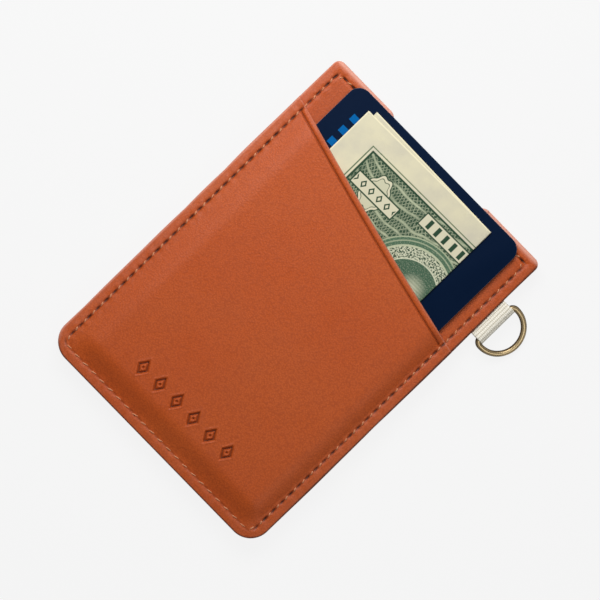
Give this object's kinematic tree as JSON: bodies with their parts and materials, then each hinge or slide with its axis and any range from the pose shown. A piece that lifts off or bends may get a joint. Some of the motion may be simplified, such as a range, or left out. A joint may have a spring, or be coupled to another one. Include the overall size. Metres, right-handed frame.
{
  "type": "card wallet",
  "caption": "Slim upright leather card wallet with a slanted front pocket, thumb notch, stitched edge and a webbing tab that holds a D-ring, with a card and a folded banknote inside.",
  "frame": {"origin": "centre of the wallet's 66.8 by 94 mm outline, on the rear pocket's flat outer face, the plane that the wallet lies on", "axes": "+Z out of the front pocket, +Y towards the open end, +X towards the D-ring side"},
  "size_m": [0.0771, 0.094, 0.0074],
  "materials": {
    "leather": "smooth vegetable-tanned, tan",
    "lining": "fine woven, brown",
    "board": "pressed leather fibre board",
    "thread": "waxed polyester thread",
    "webbing": "ribbed grosgrain, off-white",
    "brass": "antique, lightly polished",
    "card": "satin laminated",
    "contact": "gold-plated",
    "paper": "crisp printed cotton paper"
  },
  "bodies": {
    "wallet": {"rear_pocket_panel": "leather", "rear_pocket_lining": "lining", "seam_thread_back": "thread", "back_panel": "leather", "stiffener_board": "board", "middle_panel": "leather", "front_pocket_panel": "leather", "front_pocket_lining": "lining", "seam_thread_front": "thread", "tab_webbing": "webbing"},
    "ring": {"d_ring": "brass"},
    "payment_card": {"card": "card", "card_contact_plate": "contact"},
    "folded_note": {"banknote": "paper"}
  },
  "joints": [
    {"name": "ring_swing", "type": "hinge", "parent": "wallet", "child": "ring", "pos_m": [0.03575, 0.0297, 0.0032], "axis": [0, 1, 0], "range_deg": [-148, 111]},
    {"name": "card_slide", "type": "slide", "parent": "wallet", "child": "payment_card", "axis": [0, 1, 0], "range_m": [-0.002, 0.09]},
    {"name": "banknote_slide", "type": "slide", "parent": "wallet", "child": "folded_note", "axis": [0, 1, 0], "range_m": [-0.018, 0.072]}
  ]
}
